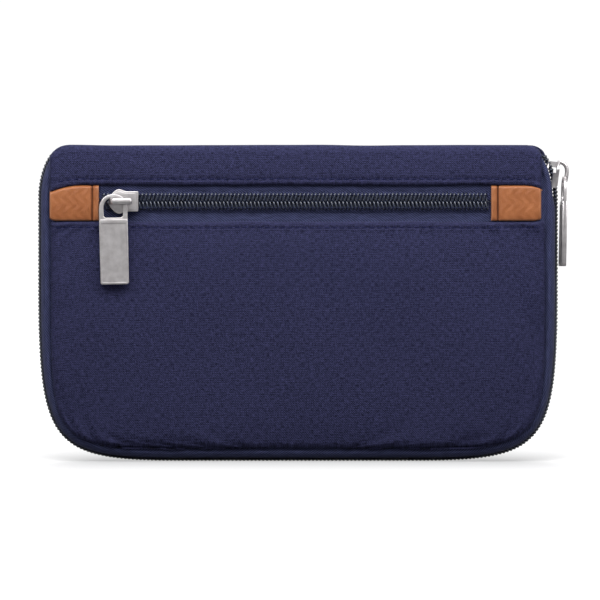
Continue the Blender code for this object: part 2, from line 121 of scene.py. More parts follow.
CANVAS = 0.9            # thickness of the padded canvas
CROWN = 1.5             # most that it swells
CLOTH_STEPS = 20
CLOTH_SETTINGS = {"quality": 6, "mass": 0.25, "tension_stiffness": 12.0, "compression_stiffness": 12.0,
                  "bending_stiffness": 1.5, "vertex_group_mass": "pinned", "shrink_min": -0.006,
                  "use_pressure": True, "uniform_pressure_force": 3.0}
FLOOR_GLOW = 0.44       # painted glow that the camera sees from the floor beside the organizer, kept low there to paint the contact shadow
SKY_LIGHT = 0.17        # surround that lights the cloth; the camera sees white
METAL_LIGHT = 0.78      # surround as mirrored in metal
LIP_SEAM = 2.5          # from each pocket lip to its row of stitches


# ---------- curves and small mathematics
def smooth(value):
    """Smoothstep of a number or an array, clamped to 0..1."""
    value = np.clip(value, 0.0, 1.0)
    return value * value * (3.0 - 2.0 * value)


def cubic(start, corner, end, fullness, steps):
    """Points of one cubic from start to end that bends round the corner."""
    start, corner, end = (np.array(point, float) for point in (start, corner, end))
    first = start + (corner - start) * fullness
    second = end + (corner - end) * fullness
    t = np.linspace(0.0, 1.0, steps + 1)[:, None]
    s = 1.0 - t
    return s**3 * start + 3 * s * s * t * first + 3 * s * t * t * second + t**3 * end


def unit(vectors):
    return vectors / np.linalg.norm(vectors, axis=-1, keepdims=True)


def blunt(wave, power):
    """A sine or cosine with its peaks broadened, for the corners of a squarish section."""
    return np.sign(wave) * np.abs(wave) ** power


def xyz(x, y, z):
    """Points from coordinates that are arrays or single numbers."""
    return np.stack(np.broadcast_arrays(x, y, z), axis=-1)


def arc_lengths(points):
    """Distance of each point along its polyline."""
    steps = np.linalg.norm(np.diff(points, axis=0), axis=1)
    return np.concatenate(([0.0], np.cumsum(steps)))


def resample(points, spacing):
    """The same polyline with points an even distance apart."""
    points = np.array(points, float)
    along = arc_lengths(points)
    count = max(2, int(round(along[-1] / spacing)) + 1)
    want = np.linspace(0.0, along[-1], count)
    return np.stack([np.interp(want, along, points[:, axis]) for axis in range(points.shape[1])], axis=1)


def wander(values, seed, reach, strength):
    """A smooth, repeatable wobble: a few sines of unrelated lengths."""
    total = np.zeros_like(np.asarray(values, float))
    for step in range(4):
        wave = reach / (1.0 + 0.83 * step)
        total += np.sin(values * 2 * math.pi / wave + seed * (1.7 + step)) / (1.0 + step)
    return total * strength / 2.1


class ZipLine:
    """The outer line of the side and bottom coil in X and Z, from the left fold end to the right."""

    def __init__(self, spacing=1.0):
        bow = cubic((-98.8, 124.0), (-103.9, 118.6), (-ZIP_HALF, 107.0), 0.62, 24)
        corner = cubic((-ZIP_HALF, 68.9), (-ZIP_HALF, 0.0), (-48.4, 0.0), 0.91, 60)
        left = np.concatenate((bow, corner))
        right = left[::-1] * np.array([-1.0, 1.0])
        self.points = resample(np.concatenate((left, right)), spacing)
        tangents = unit(np.gradient(self.points, axis=0))
        self.outward = np.stack((tangents[:, 1], -tangents[:, 0]), axis=1)
        self.along = arc_lengths(self.points)
        self.length = self.along[-1]

    def at(self, along):
        """Point and outward direction at distances along the line."""
        place, out = (np.stack([np.interp(along, self.along, values[:, axis]) for axis in (0, 1)], axis=-1)
                      for values in (self.points, self.outward))
        return place, unit(out)


def lower_corner(half, bottom, steps):
    """A cover's broad lower corner, from its side to its bottom edge."""
    return cubic((half, bottom + CORNER_RISE), (half, bottom), (half - CORNER_RUN, bottom), CORNER_FULLNESS, steps)


def cover_half_width(z, half, bottom):
    """Half width of a cover's outline at the heights z."""
    curve = lower_corner(half, bottom, 200)[::-1]
    return np.interp(z, curve[:, 1], curve[:, 0], right=half)


def row_heights(bottom, top, count):
    """Heights of a cover's rows, close together where the corners turn in to the bottom edge."""
    t = np.linspace(0.0, 1.0, count)
    return bottom + (top - bottom) * (0.75 * t**1.9 + 0.25 * t)


# ---------- objects
def grid_faces(rows, columns, wrap=False, flip=False):
    """Quads of a rows x columns grid of vertices. wrap joins the last column to the first."""
    faces = []
    for row in range(rows - 1):
        for column in range(columns if wrap else columns - 1):
            a = row * columns + column
            b = row * columns + (column + 1) % columns
            face = (a, b, b + columns, a + columns)
            faces.append(face[::-1] if flip else face)
    return faces


def end_caps(rows, sides):
    """Faces that close both ends of a wrapped grid."""
    return [tuple(range(sides))[::-1], tuple(range((rows - 1) * sides, rows * sides))]


def add_object(name, data):
    made = bpy.data.objects.new(name, data)
    bpy.context.scene.collection.objects.link(made)
    return made


def make_object(name, points, faces, material, uv=None):
    """An object from points in design millimetres. uv holds a weave coordinate in millimetres a vertex."""
    mesh = bpy.data.meshes.new(name)
    placed = np.asarray(points, float).reshape(-1, 3) * MM + SHIFT
    mesh.from_pydata(placed.tolist(), [], faces)
    mesh.materials.append(material)
    if uv is not None:
        layer = mesh.uv_layers.new(name="weave")
        flat = np.asarray(uv, float).reshape(-1, 2)
        loops = np.zeros(len(mesh.loops), dtype=np.int64)
        mesh.loops.foreach_get("vertex_index", loops)
        layer.data.foreach_set("uv", flat[loops].astype(np.float32).ravel())
    mesh.shade_smooth()
    return add_object(name, mesh)


def face_outward(made):
    """Turn a closed mesh's faces outward."""
    cage = bmesh.new()
    cage.from_mesh(made.data)
    bmesh.ops.recalc_face_normals(cage, faces=cage.faces)
    cage.to_mesh(made.data)
    cage.free()
    return made


def apply_modifiers(made):
    """Bake the modifiers into the mesh and drop them."""
    bpy.context.view_layer.update()
    graph = bpy.context.evaluated_depsgraph_get()
    mesh = bpy.data.meshes.new_from_object(made.evaluated_get(graph))
    old = made.data
    made.modifiers.clear()
    made.data = mesh
    bpy.data.meshes.remove(old)
    return made


def thicken(made, thickness, offset=-1):
    modifier = made.modifiers.new("Thickness", "SOLIDIFY")
    modifier.thickness = thickness * MM
    modifier.offset = offset
    return apply_modifiers(made)


def finish_piece(made, body, slot, *nodes):
    """Attach a piece to the body it rides on and hide the CAD nodes it stands for.
    """
    if body:
        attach(made, body)
    if nodes:
        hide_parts(*nodes)


def tube(name, line, radius, sides, material):
    """A round tube along a smooth line of points."""
    line = np.asarray(line, float)
    tangent = unit(np.gradient(line, axis=0))
    side = np.zeros_like(line)
    guide = np.array([0.31, 0.87, 0.39])
    for index in range(len(line)):
        guide = unit(guide - tangent[index] * guide.dot(tangent[index]))
        side[index] = guide
    other = np.cross(tangent, side)
    angle = (np.arange(sides) * 2 * math.pi / sides)[:, None]
    ring = side[:, None, :] * np.cos(angle) + other[:, None, :] * np.sin(angle)
    faces = grid_faces(len(line), sides, wrap=True) + end_caps(len(line), sides)
    return face_outward(make_object(name, line[:, None, :] + ring * radius, faces, material))


def join_pieces(name, parts):
    """One object from several that share a body and a finish."""
    mesh = bpy.data.meshes.new(name)
    cage = bmesh.new()
    for part in parts:
        part.data.transform(part.matrix_world)
        cage.from_mesh(part.data)
    cage.to_mesh(mesh)
    cage.free()
    for material in parts[0].data.materials:
        mesh.materials.append(material)
    made = add_object(name, mesh)
    for part in parts:
        bpy.data.objects.remove(part, do_unlink=True)
    made.name = name
    return made


# ---------- materials
class Value:
    """A node's output that adds and multiplies like a number."""

    def __init__(self, shader, socket):
        self.shader, self.socket = shader, socket

    def __add__(self, other):
        return self.shader.math("ADD", self, other)

    def __mul__(self, other):
        return self.shader.math("MULTIPLY", self, other)


class Shader:
    """Short way to wire a node material."""

    def __init__(self, name, world=False):
        self.material = (bpy.data.worlds if world else bpy.data.materials).new(name)
        self.material.use_nodes = True
        self.tree = self.material.node_tree
        self.surface = self.tree.nodes["Background" if world else "Principled BSDF"]

    def feed(self, node, **values):
        """Link values to a node's inputs, or set the inputs to numbers or colours."""
        for key, value in values.items():
            self.plug(node.inputs[key.replace("_", " ")], value)

    def plug(self, socket, value):
        if isinstance(value, Value):
            self.tree.links.new(value.socket, socket)
        else:
            socket.default_value = (*value, 1.0) if isinstance(value, tuple) else value

    def node(self, kind, *inputs, **settings):
        """A node with its first inputs fed in order."""
        made = self.tree.nodes.new(kind)
        for key, value in settings.items():
            setattr(made, key, value)
        for socket, value in zip(made.inputs, inputs):
            self.plug(socket, value)
        return made

    def out(self, node, name=0):
        return Value(self, node.outputs[name])

    def set(self, **values):
        self.feed(self.surface, **values)

    def math(self, operation, *inputs):
        return self.out(self.node("ShaderNodeMath", *inputs, operation=operation))

    def wave(self, distance, length):
        return self.math("SINE", distance * (2 * math.pi / length))

    def vector(self, x, y, z=0.0):
        return self.out(self.node("ShaderNodeCombineXYZ", x, y, z))

    def noise(self, place, scale, detail=3.0):
        made = self.node("ShaderNodeTexNoise")
        self.feed(made, Vector=place, Scale=scale, Detail=detail, Roughness=0.55)
        return self.out(made, "Fac")

    def ramp(self, factor, *stops):
        made = self.node("ShaderNodeValToRGB", factor)
        elements = made.color_ramp.elements
        while len(elements) < len(stops):
            elements.new(0.5)
        for element, (place, colour) in zip(elements, stops):
            element.position = place
            element.color = (*colour, 1.0)
        return self.out(made, "Color")

    def mix_by(self, attribute, first, second):
        """first where the vertex attribute is 0, second where it is 1."""
        made = self.node("ShaderNodeMix", data_type="RGBA")
        factor = self.out(self.node("ShaderNodeAttribute", attribute_name=attribute), "Fac")
        for index, value in ((0, factor), (6, first), (7, second)):
            self.plug(made.inputs[index], value)
        return self.out(made, 2)

    def bump(self, height, distance, strength):
        made = self.node("ShaderNodeBump")
        self.feed(made, Distance=distance * MM, Strength=strength, Height=height)
        self.set(Normal=self.out(made, "Normal"))

    def axes(self, kind, output, **settings):
        """The three components of a coordinate node's output."""
        place = self.out(self.node(kind, **settings), output)
        return [Value(self, socket) for socket in self.node("ShaderNodeSeparateXYZ", place).outputs]

    def object_axes(self):
        """X, Y and Z of the row frame in millimetres."""
        return [axis * 1000.0 for axis in self.axes("ShaderNodeTexCoord", "Object")]

    def weave_axes(self):
        """Distance along and across a strip in millimetres, from its weave coordinates."""
        return self.axes("ShaderNodeUVMap", "UV", uv_map="weave")[:2]


def plain_weave(mat, across, up, pitch):
    """Height of a plain weave: threads pass over and under each other in a checker."""
    return mat.wave(across, 2 * pitch) * mat.wave(up, 2 * pitch)


def canvas_material(name, over_fold, dark, light):
    """Navy canvas. over_fold is +1 where the cloth's length runs with Z + Y, -1 where it runs with Z - Y."""
    mat = Shader(name)
    x, y, z = mat.object_axes()
    up = z + y * float(over_fold)
    slub_across = mat.noise(mat.vector(x * 0.50, up * 2.3), 1.0, 2.0)
    slub_up = mat.noise(mat.vector(x * 2.3, up * 0.50), 1.0, 2.0)
    slub = slub_across * 0.54 + slub_up * 0.46
    cloud = mat.noise(mat.vector(x * 0.03, up * 0.03), 1.0, 2.0)
    weave = plain_weave(mat, x, up, 0.46)
    course = mat.wave(up, 0.92)
    tone = slub + weave * 0.09 + course * 0.03 + cloud * 0.06
    mat.set(Base_Color=mat.ramp(tone, (0.36, dark), (0.72, light)), Roughness=slub * 0.2 + 0.72,
               Specular_IOR_Level=0.12, Sheen_Weight=0.06, Sheen_Roughness=0.4, Sheen_Tint=(0.45, 0.50, 0.85))
    mat.bump(weave * 0.6 + slub * 1.4, 0.12, 0.75)
    return mat.material


def twill_material(name, dark, light):
    """Zip tape: fine diagonal ribs crossed by its threads."""
    mat = Shader(name)
    along, across = mat.weave_axes()
    rib = mat.wave(along + across * 1.35, 1.25)
    thread = mat.wave(across, 0.5)
    patch = mat.noise(mat.vector(along * 0.25, across), 1.0)
    tone = rib * 0.34 + thread * 0.08 + patch
    mat.set(Base_Color=mat.ramp(tone, (0.18, dark), (0.85, light)), Roughness=0.7,
               Specular_IOR_Level=0.15, Sheen_Weight=0.05, Sheen_Roughness=0.5)
    mat.bump(rib + thread * 0.5, 0.07, 0.8)
    return mat.material


def nylon_material():
    """Glossy black-navy monofilament with a little unevenness."""
    mat = Shader("coil_nylon")
    patch = mat.noise(mat.vector(*mat.object_axes()), 1.3)
    colour = mat.ramp(patch, (0.3, (0.011, 0.015, 0.028)), (0.7, (0.032, 0.040, 0.072)))
    mat.set(Base_Color=colour, Roughness=patch * 0.12 + 0.14, Specular_IOR_Level=0.7)
    return mat.material


def thread_material(name, colour):
    """Twisted sewing thread."""
    mat = Shader(name)
    x, y, z = mat.object_axes()
    twist = mat.math("SINE", (x + (y + z)) * 16.0)
    patch = mat.noise(mat.vector(x, y, z), 0.9)
    dark = tuple(0.55 * value for value in colour)
    mat.set(Base_Color=mat.ramp(patch + twist * 0.12, (0.3, dark), (0.7, colour)), Roughness=0.8,
               Specular_IOR_Level=0.08)
    mat.bump(twist, 0.05, 0.6)
    return mat.material


def leather_material():
    """Tan leather: fine pores and creases, painted shade in the sewn fold, and edges paler partly where it is
    pulled thin and partly as a painted highlight.
    """
    mat = Shader("tan_leather")
    place = mat.vector(*mat.object_axes())
    offset = mat.noise(place, 0.8)
    warped = mat.node("ShaderNodeVectorMath", place, mat.vector(offset, offset, offset), operation="ADD")
    pores = mat.node("ShaderNodeTexVoronoi", feature="DISTANCE_TO_EDGE")
    mat.feed(pores, Vector=mat.out(warped), Scale=1.5)
    grain = mat.ramp(mat.out(pores, "Distance"), (0.0, (0.0,) * 3), (0.16, (1.0,) * 3))
    cloud = mat.noise(place, 0.16, 4.0)
    speckle = mat.noise(place, 3.2)
    base = mat.ramp(cloud * 0.7 + speckle * 0.3, (0.33, (0.235, 0.070, 0.018)),
                       (0.52, (0.305, 0.099, 0.029)), (0.70, (0.385, 0.137, 0.048)))
    # Paler band along the rounded edges: partly leather pulled thin, partly a painted highlight.
    worn_and_highlit = mat.mix_by("edge_wear_and_highlight", base, (0.48, 0.21, 0.105))
    # Near-black painted shade along the sewn crease, from the fold attribute.
    mat.set(Base_Color=mat.mix_by("fold", worn_and_highlit, (0.045, 0.008, 0.003)), Roughness=speckle * 0.22 + 0.36,
               Specular_IOR_Level=0.45)
    mat.bump(grain + speckle * 0.7, 0.05, 0.5)
    return mat.material


def nickel_material():
    """Satin nickel: fine brushing and small stains."""
    mat = Shader("satin_nickel")
    x, y, z = mat.object_axes()
    brush = mat.noise(mat.vector(x * 9.0, y * 9.0, z * 0.9), 1.0, 4.0)
    stain = mat.noise(mat.vector(x, y, z), 0.35, 4.0)
    colour = mat.ramp(stain, (0.30, (0.50, 0.475, 0.48)), (0.70, (0.66, 0.635, 0.64)))
    mat.set(Base_Color=colour, Roughness=brush * 0.16 + 0.27, Metallic=1.0)
    mat.bump(brush, 0.02, 0.5)
    return mat.material


def lining_material(name, dark, light):
    """Light polyester lining with a fine rib."""
    mat = Shader(name)
    x, y, z = mat.object_axes()
    weave = plain_weave(mat, x, z, 0.38)
    cloud = mat.noise(mat.vector(x * 0.2, y, z * 0.9), 1.0)
    mat.set(Base_Color=mat.ramp(cloud + weave * 0.12, (0.3, dark), (0.7, light)), Roughness=0.55,
               Specular_IOR_Level=0.35, Sheen_Weight=0.15)
    mat.bump(weave, 0.06, 0.6)
    return mat.material


def elastic_material():
    """Black elastic, ribbed across its width."""
    mat = Shader("elastic")
    x, y, z = mat.object_axes()
    rib = mat.wave(x, ELASTIC_RIB)
    patch = mat.noise(mat.vector(x, y, z), 2.0)
    colour = mat.ramp(patch + rib * 0.2, (0.2, (0.006,) * 3), (0.8, (0.03, 0.03, 0.035)))
    mat.set(Base_Color=colour, Roughness=0.8, Sheen_Weight=0.2)
    mat.bump(rib, 0.15, 0.7)
    return mat.material


def board_material():
    """Plain polyethylene stiffener board, slightly mottled."""
    mat = Shader("stiffener_board")
    patch = mat.noise(mat.vector(*mat.object_axes()), 0.5)
    mat.set(Base_Color=mat.ramp(patch, (0.3, (0.42, 0.42, 0.40)), (0.7, (0.55, 0.55, 0.52))), Roughness=0.6)
    mat.bump(patch, 0.05, 0.4)
    return mat.material


NAVY_DARK = (0.0040, 0.0045, 0.017)
NAVY_LIGHT = (0.044, 0.046, 0.118)
CANVAS_FRONT = canvas_material("navy_canvas_front", 1, NAVY_DARK, NAVY_LIGHT)
CANVAS_BACK = canvas_material("navy_canvas_back", -1, NAVY_DARK, NAVY_LIGHT)
TWILL = twill_material("navy_twill", (0.010, 0.013, 0.040), (0.060, 0.068, 0.160))
NYLON = nylon_material()
THREAD = thread_material("navy_thread", (0.010, 0.013, 0.060))
DARK_THREAD = thread_material("coil_thread", (0.018, 0.022, 0.060))
LEATHER = leather_material()
NICKEL = nickel_material()
LINING = lining_material("lining", (0.020, 0.022, 0.036), (0.042, 0.046, 0.070))
SLOT_CLOTH = lining_material("slot_cloth", (0.026, 0.029, 0.050), (0.052, 0.057, 0.090))
ELASTIC = elastic_material()
BOARD = board_material()


# ---------- padded covers
def settle_cloth(made, pinned, cap):
    """Let a flat sheet swell outward between its pinned edges, then keep each point within cap."""
    rest = np.array([vertex.co for vertex in made.data.vertices])
    group = made.vertex_groups.new(name="pinned")
    group.add([int(index) for index in np.nonzero(pinned)[0]], 1.0, "REPLACE")
    cloth = made.modifiers.new("Cloth", "CLOTH")
    for key, value in CLOTH_SETTINGS.items():
        setattr(cloth.settings, key, value)
    cloth.settings.effector_weights.gravity = 0.0
    cloth.collision_settings.use_collision = False
    scene = bpy.context.scene
    for step in range(1, CLOTH_STEPS + 1):
        scene.frame_set(step)
    apply_modifiers(made)
    scene.frame_set(1)
    made.vertex_groups.clear()
    moved = np.array([vertex.co for vertex in made.data.vertices]) - rest
    reach = np.linalg.norm(moved, axis=1)
    limit = cap * MM * np.tanh(reach / (cap * MM)) / np.maximum(reach, 1e-9)
    return rest + moved * limit[:, None]


def swell(x, z, level, facing):
    """How far a flat sheet at y = level stands out at each point, from a cloth simulation."""
    rows, columns = x.shape
    pinned = np.ones(x.shape, bool)
    pinned[1:-1, 1:-1] = False
    faces = grid_faces(rows, columns, flip=facing > 0)
    sheet = make_object("cloth_trial", xyz(x, level, z), faces, CANVAS_FRONT)
    settled = settle_cloth(sheet, pinned.ravel(), CROWN)
    out = (settled[:, 1] - level * MM - MID_Y) / MM * facing
    bpy.data.objects.remove(sheet, do_unlink=True)
    return np.clip(out, -0.2, CROWN).reshape(x.shape)


def panel_points(half, bottom, heights, columns):
    """X and Z of a grid that fills a cover's outline, its columns closer together toward the sides."""
    s = np.sin(np.linspace(-1, 1, columns) * math.pi / 2 * 0.92) / math.sin(math.pi / 2 * 0.92)
    x = s[None, :] * cover_half_width(heights, half, bottom)[:, None]
    return x, np.repeat(heights[:, None], columns, axis=1)


def edge_distance(x, z, half, bottom):
    """Rough distance inwards from a cover's side and bottom outline."""
    side = [(half, 130.0), (half, 100.0), (half, 80.0)]
    ring = resample(np.concatenate((side, lower_corner(half, bottom, 120), [(0.0, bottom)])), 0.8)
    flat = np.stack((np.abs(x).ravel(), z.ravel()), axis=1)
    near = np.full(len(flat), 1e9)
    for start in range(0, len(ring), 64):
        gap = flat[:, None, :] - ring[None, start:start + 64, :]
        near = np.minimum(near, np.sqrt((gap**2).sum(axis=2)).min(axis=1))
    return near.reshape(x.shape)


def turned_edge(distance, roll):
    """How far a padded edge falls back from the face: a quarter round of radius roll."""
    inside = np.clip(1.0 - distance / roll, 0.0, 1.0)
    return roll * (1.0 - np.sqrt(np.clip(1.0 - inside**2, 0.0, 1.0)))


def groove(distance, place, width, depth):
    """A sewn groove at a distance from the edge."""
    return depth * np.exp(-((distance - place) / width) ** 2)


def make_pocket_panel():
    """Front pocket panel under the zip: swollen cloth with a folded lip along its top."""
    heights = row_heights(COVER_BOTTOM, LOWER_LIP - 6.0, 58)
    heights = np.concatenate((heights, np.linspace(LOWER_LIP - 5.5, LOWER_LIP, 12)))
    x, z = panel_points(COVER_HALF, COVER_BOTTOM, heights, 133)
    level = FRONT_FACE + CANVAS
    out = swell(x, z, level, -1)
    lip = LOWER_LIP - z
    out += CANVAS - turned_edge(edge_distance(x, z, COVER_HALF, COVER_BOTTOM), 1.9)
    hem = 0.40 * smooth((4.2 - lip) / 1.4)
    out += hem - groove(lip, LIP_SEAM, 0.5, 0.42) - np.minimum(turned_edge(lip, 1.2), 1.3)
    z = z + wander(x, 2.0, 60.0, 0.25) * smooth(1 - lip / 8.0)
    front = xyz(x, level - out, z)
    made = make_object("front_pocket_cloth", front, grid_faces(*x.shape), CANVAS_FRONT)
    thicken(made, CANVAS)
    finish_piece(made, "front_cover", "navy_fabric", "front_pocket_panel")
    return front[np.abs(lip[:, 0] - LIP_SEAM).argmin()]


def end_drop(x):
    """How far the spine's top falls away toward the ends of the fold, more on the left than the right."""
    inward = COVER_HALF + 0.6 - np.abs(x)
    left = 4.2 * np.clip(1.0 - inward / 9.5, 0.0, 1.0) ** 3.0
    right = 3.2 * np.clip(1.0 - inward / 6.5, 0.0, 1.0) ** 2.4
    return np.where(x < 0, left, right)


def fold_section(face, lip_height, count_face):
    """Y and Z of a cover's cloth from a height on its face, over the fold, to the middle of the spine."""
    side = math.copysign(1.0, face)
    radius = 3.4
    reach = abs(face)
    rise = lip_height + (TOP - radius - lip_height) * np.linspace(0, 1, count_face) ** 1.3
    angle = np.linspace(0, math.pi / 2, 9)[1:]
    bend = np.stack((reach - radius + radius * np.cos(angle), TOP - radius + radius * np.sin(angle)), axis=1)
    flat = np.linspace(reach - radius, 0.0, 8)[1:]
    y = np.concatenate((np.full(count_face, reach), bend[:, 0], flat))
    z = np.concatenate((rise, bend[:, 1], np.full(7, TOP)))
    return side * y, z


def shape_fold(x, y, z):
    """Round the ends of the fold down and let the top edge waver a little."""
    lift = smooth((z - (TOP - 9.0)) / 9.0)
    z = z - end_drop(x) * lift + wander(x, 5.0, 90.0, 0.22) * lift
    crown = 0.5 * (1 - (np.clip(np.abs(x) / COVER_HALF, 0, 1)) ** 8) * (1 - (y / FOLD_REACH) ** 2).clip(0, 1)
    return z + crown * 0.4 * lift


def lip_dip(x):
    """How far the upper lip comes down at its ends, over the tabs' outer corners."""
    left = 2.7 * np.clip((-x - 86.0) / 13.0, 0.0, 1.1) ** 2.1
    right = 1.3 * np.clip((x - 91.0) / 7.0, 0.0, 1.1) ** 2
    return left + right


def side_turn(columns, half):
    """X of the columns of a cloth whose ends turn in, and how far each is turned back, from 0 to 1."""
    inner = np.linspace(-(half - 1.2), half - 1.2, columns)
    angle = np.linspace(0, math.pi / 2, 6)[1:]
    turn = half - 1.2 + 1.2 * np.sin(angle)
    x = np.concatenate((-turn[::-1], inner, turn))
    back = np.concatenate(((1 - np.cos(angle))[::-1], np.zeros(columns), 1 - np.cos(angle)))
    return x, back


def make_front_strip():
    """Cloth above the pocket zip, over the front fold to the middle of the spine."""
    y_line, z_line = fold_section(FRONT_FACE - 0.5, UPPER_LIP, 26)
    x_line, back = side_turn(121, COVER_HALF + 0.6)
    x, y = np.meshgrid(x_line, y_line)
    z = np.repeat(z_line[:, None], len(x_line), axis=1)
    lip = z - UPPER_LIP
    z = z - (0.3 + lip_dip(x) - wander(x, 1.0, 70.0, 0.16)) * smooth(1 - lip / 7.0)
    z = shape_fold(x, y, z)
    x = x * (1 - 0.018 * smooth(x / 60.0) * smooth((z - 98.0) / 14.0))
    inward = 0.25 * np.sin(np.clip(lip / 13.0, 0, 1) * math.pi) - turned_edge(lip, 1.2)
    inward -= groove(lip, LIP_SEAM, 0.5, 0.38)
    inward += wander(x + 3 * z, 4.0, 46.0, 0.12)
    on_face = smooth((TOP - 3.0 - z) / 3.0)
    y = y + (2.3 * back - inward) * on_face
    z = z - 1.3 * back * (1 - on_face)
    points = xyz(x, y, z)
    made = make_object("front_fold_cloth", points, grid_faces(*x.shape), CANVAS_FRONT)
    thicken(made, CANVAS)
    finish_piece(made, None, "navy_fabric", "front_top_strip")
    world(0, FRONT_FACE, FOLD_START)
    world(0, -FOLD_END, TOP)
    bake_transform(made)
    row = int(np.abs(z_line - UPPER_LIP - LIP_SEAM).argmin())
    return points[row][6:-6]


def make_back_cloth():
    """Back cover's cloth in one piece: up the panel, over the back fold to the middle of the spine."""
    seam = 118.0
    columns = 121
    y_top, z_top = fold_section(BACK_FACE + 0.5, seam, 6)
    x, z = panel_points(COVER_HALF, COVER_BOTTOM, row_heights(COVER_BOTTOM, seam, 70), columns)
    out = swell(x, z, BACK_FACE - CANVAS, 1)
    edge = edge_distance(x, z, COVER_HALF, COVER_BOTTOM)
    out += CANVAS - turned_edge(edge, 1.5) + 0.5 * smooth((z - 100.0) / 18.0)
    panel = xyz(x, BACK_FACE - CANVAS + out, z)
    x, y = np.meshgrid(x[-1], y_top[1:])
    z = np.repeat(z_top[1:, None], columns, axis=1)
    x = x * (1 + 0.006 * smooth((z - seam) / 5.0))
    z = shape_fold(x, y, z)
    fall = turned_edge(COVER_HALF + 0.6 - np.abs(x), 1.4)
    on_face = smooth((TOP - 3.0 - z) / 3.0)
    points = np.concatenate((panel, xyz(x, y - fall * on_face, z - fall * (1 - on_face))))
    made = make_object("back_cloth", points, grid_faces(len(points), columns, flip=True), CANVAS_BACK)
    thicken(made, CANVAS)
    finish_piece(made, None, "navy_fabric", "back_panel", "spine_panel")
    world(0, BACK_FACE, FOLD_START)
    world(0, FOLD_END, TOP)
    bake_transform(made)


# ---------- stitches
def stitch_row(name, line, body, lift, length=2.3, pitch=3.0):
    """A row of short raised stitches along a line of points. lift pushes them out along -Y or +Y."""
    spacing = 0.25
    line = resample(line, spacing)
    reach = int(length / spacing)
    parts = []
    for start in range(4, len(line) - reach - 2, int(pitch / spacing)):
        run = line[start:start + reach + 1].copy()
        t = np.linspace(0, 1, len(run))
        run[:, 1] += lift * (0.35 * np.sin(t * math.pi) ** 0.6 - 0.18)
        parts.append(tube(name, run[::2], THREAD_RADIUS, 6, THREAD))
    finish_piece(join_pieces(name, parts), body, "navy_fabric")


def coil_row(name, length, route, head, shift, slant, body, node):
    """One nylon coil row.

    route(s) gives the row's middle line and the direction away from the tape at distances s along the zip.
    head is the direction toward the other row.
    """
    turns = int(length / PITCH) - 1
    angle = np.arange(turns * COIL_STEPS + 1) * 2 * math.pi / COIL_STEPS
    reach = -np.cos(angle)
    along = PITCH * (angle / (2 * math.pi) + 0.5 + shift) + slant * (reach + 1) * COIL_WIDTH / 2
    middle, outward = route(np.clip(along, 0.0, length))
    rise = blunt(np.sin(angle), 0.75) * COIL_HEIGHT / 2
    line = middle - np.array(head) * (reach * COIL_WIDTH / 2)[:, None] + outward * rise[:, None]
    finish_piece(tube(name, line, WIRE_RADIUS, 7, NYLON), body, "coil_nylon", node)


def coil_thread(name, line, body):
    """The thread that holds a coil row on its tape."""
    finish_piece(tube(name, line, 0.15, 6, DARK_THREAD), body, "navy_tape")


def make_pocket_zip():
    """Pocket tapes, their two coil rows and the threads that hold them."""
    for name, side in (("upper", 1.0), ("lower", -1.0)):
        def route(along, side=side):
            return xyz(CHAIN_LEFT + along, COIL_FRONT + 1.1, CHAIN_Z + side * 1.62), np.array((0.0, -1.0, 0.0))

        coil_row("pocket_coil_row_" + name, CHAIN_RIGHT - CHAIN_LEFT, route, (0.0, 0.0, -side),
                 0.0 if side > 0 else 0.5, 0.07, "front_cover", "pocket_coil_" + name)
        s = np.arange(CHAIN_LEFT, CHAIN_RIGHT, 0.4)
        height = COIL_FRONT + 0.05 + 0.22 * np.cos((s - CHAIN_LEFT) * 2 * math.pi / PITCH)
        coil_thread("pocket_coil_thread_" + name, xyz(s, height, CHAIN_Z + side * 2.55), "front_cover")
        make_pocket_tape(name, side)


def make_pocket_tape(name, side):
    """One twill tape from the chain to its hidden edge, with a slight waver."""
    low, high = local_box("pocket_tape_" + name)
    across = np.linspace(0.15, abs(high[2] - low[2]) + 0.45, 12)
    x, reach = np.meshgrid(np.linspace(low[0], high[0], 161), across)
    y = TAPE_FRONT + 0.05 - 0.35 * smooth((reach - 3.4) / 2.5) + wander(x + 5 * reach, side * 3.0, 38.0, 0.10)
    points = xyz(x, y, CHAIN_Z + side * reach)
    weave = np.stack((x, side * reach), axis=-1)
    made = make_object("pocket_tape_cloth_" + name, points, grid_faces(*x.shape, flip=side < 0), TWILL, weave)
    thicken(made, 0.35)
    finish_piece(made, "front_cover", "navy_tape", "pocket_tape_" + name)


LINE = ZipLine()


def make_side_zip():
    """Perimeter tape and coil row on each cover."""
    for cover, side in (("front", -1.0), ("back", 1.0)):
        def route(along, side=side):
            place, out = LINE.at(along)
            inset = place - out * 1.12
            return xyz(inset[:, 0], side * 1.6, inset[:, 1]), xyz(out[:, 0], 0.0, out[:, 1])

        coil_row(cover + "_coil_row", LINE.length, route, (0.0, -side, 0.0), 0.0 if side > 0 else 0.5,
                 side * COIL_LEAN, cover + "_cover", cover + "_coil")
        s = np.arange(1.0, LINE.length - 1.0, 0.5)
        place, out = LINE.at(s)
        spot = place - out * (1.02 + 0.05 * np.cos(s * 2 * math.pi / PITCH))[:, None]
        coil_thread(cover + "_coil_thread", xyz(spot[:, 0], side * 2.5, spot[:, 1]), cover + "_cover")
        make_gusset(cover, side)


